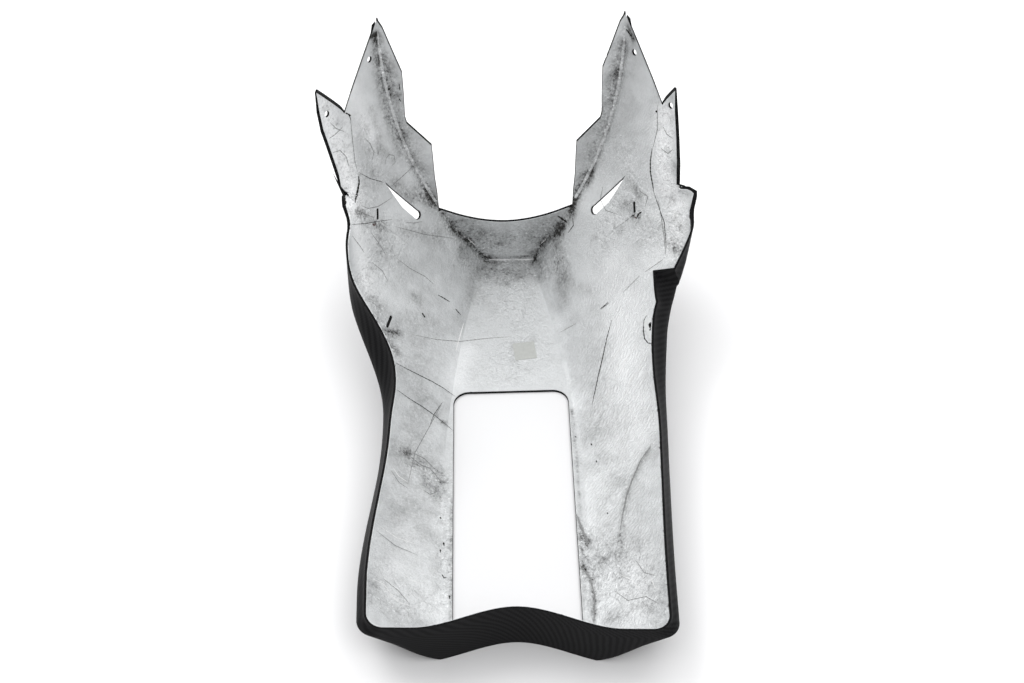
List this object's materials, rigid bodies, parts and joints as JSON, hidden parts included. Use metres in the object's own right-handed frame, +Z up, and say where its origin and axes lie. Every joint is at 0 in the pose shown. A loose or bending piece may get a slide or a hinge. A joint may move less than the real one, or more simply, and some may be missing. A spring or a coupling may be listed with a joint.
{
  "type": "motorcycle belly pan",
  "caption": "Moulded twill belly pan lined with silver heat foil: flat floor with a long cut-out, bow-like flanks, two upswept wings with tongues, a flared side and an arched rear wall.",
  "frame": {"origin": "on the floor's underside, on the middle line, 117 mm behind the front wall", "axes": "+Y to the front of the motorcycle, +X to its right, +Z up"},
  "size_m": [0.3861, 0.5918, 0.296],
  "materials": {
    "laminate": "clear-coated black twill laminate",
    "heat_foil": "satin, finely wrinkled and scuffed",
    "plate": "satin",
    "label": "satin film"
  },
  "bodies": {
    "root": {"shell": "laminate", "lining": "heat_foil", "eyelet_plate": "plate", "label": "label"}
  },
  "joints": []
}
